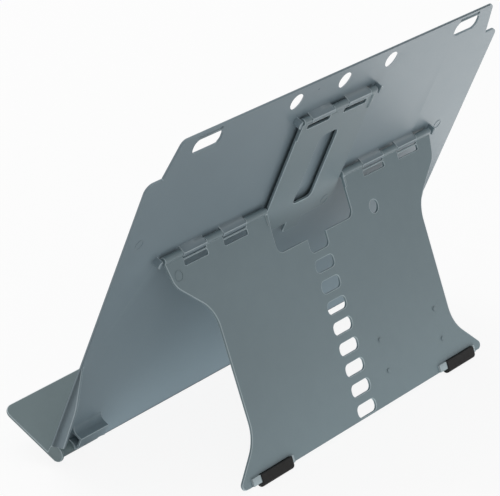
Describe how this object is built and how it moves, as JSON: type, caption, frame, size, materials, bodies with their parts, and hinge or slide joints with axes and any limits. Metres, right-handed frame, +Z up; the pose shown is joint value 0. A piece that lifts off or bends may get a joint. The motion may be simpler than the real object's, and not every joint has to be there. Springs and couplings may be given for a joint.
{
  "type": "folding desk copyholder",
  "caption": "Slanted document panel with a fold-up front ledge, a rear leg on a snap-in hinge, a prop link for its slot ladder, and rubber foot pads.",
  "frame": {"origin": "centre of the bounding box's base, on the table", "axes": "+X to the right seen from the front, +Y from the ledge towards the leg, +Z up"},
  "size_m": [0.3, 0.1374, 0.202],
  "materials": {
    "panel_plastic": "fine matt moulded polystyrene, blue grey",
    "ledge_plastic": "fine matt moulded polystyrene, blue grey",
    "leg_plastic": "fine matt moulded polystyrene, blue grey",
    "link_plastic": "fine matt moulded polystyrene, blue grey",
    "pad_rubber": "soft matt rubber, near black"
  },
  "bodies": {
    "panel": {"back_panel": "panel_plastic"},
    "ledge": {"front_ledge": "ledge_plastic"},
    "leg": {"rear_leg": "leg_plastic", "foot_pad_left": "pad_rubber", "foot_pad_right": "pad_rubber"},
    "link": {"prop_link": "link_plastic"}
  },
  "joints": [
    {"name": "ledge_hinge", "type": "hinge", "parent": "panel", "child": "ledge", "pos_m": [0, -0.02978, 0.00808], "axis": [-1, 0, 0], "range_deg": [0, 86]},
    {"name": "leg_hinge", "type": "hinge", "parent": "panel", "child": "leg", "pos_m": [0, 0.01832, 0.12277], "axis": [1, 0, 0], "range_deg": [-43, 98]},
    {"name": "link_hinge", "type": "hinge", "parent": "panel", "child": "link", "pos_m": [0, 0.04119, 0.17882], "axis": [1, 0, 0], "range_deg": [0, 150]}
  ]
}
